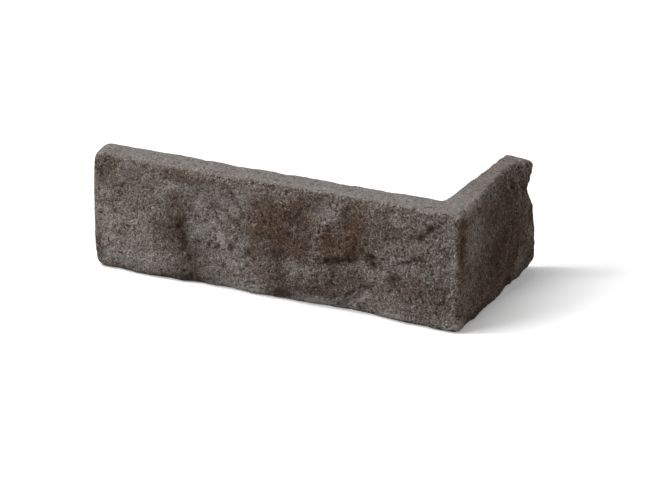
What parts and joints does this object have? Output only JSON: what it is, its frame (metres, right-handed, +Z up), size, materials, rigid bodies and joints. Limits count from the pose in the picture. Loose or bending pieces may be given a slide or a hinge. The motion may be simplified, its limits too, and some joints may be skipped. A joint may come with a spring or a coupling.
{
  "type": "concrete corner brick slip",
  "caption": "L-shaped cast concrete cladding slip that wraps the outer corner of a wall, with a rough brick-like stretcher face and header face.",
  "frame": {"origin": "centre of the bounding box's footprint, on the level floor that the slip stands on", "axes": "+Z up from the bed; +X along the stretcher face towards the quoin, where the outer corner is; +Y along the header face, away from the stretcher face; the stretcher face looks along -Y and the header face along +X"},
  "size_m": [0.2148, 0.0992, 0.065],
  "materials": {
    "cast_concrete": "matte"
  },
  "bodies": {
    "root": {"corner_brick_slip": "cast_concrete"}
  },
  "joints": []
}
